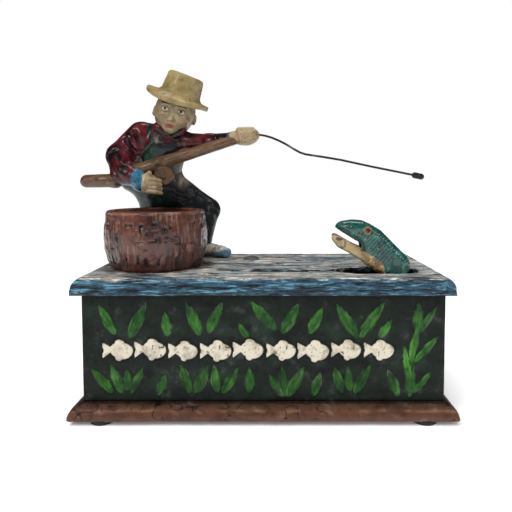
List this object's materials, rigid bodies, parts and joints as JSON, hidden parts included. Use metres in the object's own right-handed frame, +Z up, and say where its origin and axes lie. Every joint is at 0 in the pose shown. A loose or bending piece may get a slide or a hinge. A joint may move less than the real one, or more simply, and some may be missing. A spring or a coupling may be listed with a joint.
{
  "type": "mechanical coin bank",
  "caption": "Cast-iron mechanical coin bank: pressing the end lever rocks a fisherman back on a box-shaped deck while a fish dives through the deck.",
  "frame": {"origin": "on the floor, under the middle of the whole outline seen from above, which is 8 mm left of the middle of the base because the pole's butt sticks out past the base", "axes": "+X to the viewer's right along the length of the base, +Y to the back, +Z up"},
  "size_m": [0.2571, 0.108, 0.2328],
  "materials": {
    "base_iron": "gloss paint, worn",
    "foot_rubber": "matt",
    "panel_iron": "gloss paint, worn",
    "deck_iron": "gloss paint, streaked",
    "basket_iron": "gloss paint, worn",
    "figure_iron": "gloss paint, worn",
    "legs_iron": "gloss paint, worn",
    "pole_iron": "gloss paint, worn",
    "fish_iron": "gloss paint, worn",
    "jaw_iron": "gloss paint, worn",
    "bare_iron": "bare, oiled",
    "steel": "plain",
    "black_steel": "matt black paint"
  },
  "bodies": {
    "case": {"base_plate": "base_iron", "rubber_feet": "foot_rubber", "front_panel": "panel_iron", "back_panel": "panel_iron", "left_end_panel": "panel_iron", "right_end_panel": "panel_iron", "deck_plate": "deck_iron", "deck_bolt": "deck_iron", "deck_bolt_nut": "steel", "basket": "basket_iron", "basket_screws": "steel", "trap_rivet": "steel", "lever_pin": "steel", "return_spring": "steel", "guide_screws": "steel", "fish_pin": "steel", "lean_pin": "steel"},
    "lever_arm": {"lever": "panel_iron", "lever_drive_pin": "steel"},
    "bar": {"drive_bar": "bare_iron"},
    "fish": {"fish_front_half": "fish_iron", "fish_back_half": "fish_iron", "fish_rivet": "fish_iron", "fish_drive_pin": "steel", "jaw_pin": "steel"},
    "jaw": {"fish_jaw": "jaw_iron"},
    "fisherman": {"figure_body": "figure_iron", "front_leg": "legs_iron", "rear_leg": "legs_iron", "figure_rivets": "legs_iron", "lean_drive_pin": "steel", "fishing_pole": "pole_iron", "reel": "pole_iron", "line_wire": "black_steel", "bait": "black_steel"},
    "trap": {"coin_trap": "bare_iron"}
  },
  "joints": [
    {"name": "lever_press", "type": "hinge", "parent": "case", "child": "lever_arm", "pos_m": [0.102, -0.02, 0.052], "axis": [0, 1, 0], "range_deg": [0, 20], "stiffness_Nm_per_rad": 0.35, "springref_deg": -20.05, "deforming": ["return_spring"]},
    {"name": "bar_slide", "type": "slide", "parent": "case", "child": "bar", "axis": [1, 0, 0], "range_m": [0, 0.00487]},
    {"name": "fish_dive", "type": "hinge", "parent": "case", "child": "fish", "pos_m": [0.094, -0.024, 0.075], "axis": [0, 1, 0], "range_deg": [-18.02, 0]},
    {"name": "fisherman_lean", "type": "hinge", "parent": "case", "child": "fisherman", "pos_m": [-0.08, 0.0355, 0.075], "axis": [0, 1, 0], "range_deg": [-9.74, 0]},
    {"name": "jaw_close", "type": "hinge", "parent": "fish", "child": "jaw", "pos_m": [0.081, -0.024, 0.095], "axis": [0, 1, 0], "range_deg": [0, 5]},
    {"name": "trap_swing", "type": "hinge", "parent": "case", "child": "trap", "pos_m": [0.056, -0.01, 0.0062], "axis": [0, 0, -1], "range_deg": [0, 80]}
  ],
  "couplings": [
    {"joint": "bar_slide", "follows": "lever_press", "m_per_rad": 0.013929},
    {"joint": "fish_dive", "follows": "lever_press", "ratio": -0.90003},
    {"joint": "fisherman_lean", "follows": "lever_press", "ratio": -0.48591}
  ]
}
